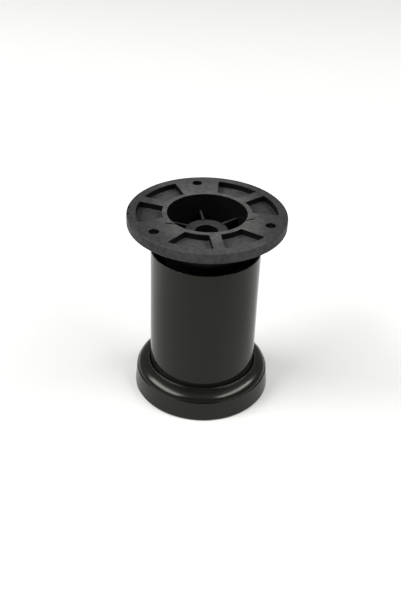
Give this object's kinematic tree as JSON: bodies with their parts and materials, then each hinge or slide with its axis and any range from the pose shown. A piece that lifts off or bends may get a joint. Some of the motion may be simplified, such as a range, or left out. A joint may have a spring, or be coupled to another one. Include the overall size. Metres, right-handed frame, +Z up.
{
  "type": "adjustable cabinet leg",
  "caption": "Short round furniture leg with a flanged top plate, a sleeve and a flared foot that screws in and out to set the height.",
  "frame": {"origin": "middle of the foot's underside, on the surface that the leg stands on", "axes": "+Z up along the leg's axis to the top plate, +Y towards one of the three screw holes"},
  "size_m": [0.071, 0.071, 0.0928],
  "materials": {
    "top_plate_plastic": "black moulded plastic, satin",
    "sleeve_finish": "dark gunmetal lacquer on a thin steel tube, glossy",
    "foot_finish": "dark gunmetal lacquer on moulded plastic, glossy",
    "screw_steel": "bright zinc-plated steel"
  },
  "bodies": {
    "top_plate": {"top_plate": "top_plate_plastic"},
    "sleeve": {"sleeve": "sleeve_finish"},
    "foot": {"foot": "foot_finish", "adjusting_screw": "screw_steel"}
  },
  "joints": [
    {"name": "height_adjust", "type": "slide", "parent": "top_plate", "child": "sleeve", "axis": [0, 0, -1], "range_m": [-0.01212, 0.00592]},
    {"name": "foot_turn", "type": "hinge", "parent": "sleeve", "child": "foot", "pos_m": [0, 0, 0], "axis": [0, 0, -1], "range_deg": [-2904, 1416]}
  ],
  "couplings": [
    {"joint": "height_adjust", "follows": "foot_turn", "m_per_rad": 0.00023873}
  ]
}
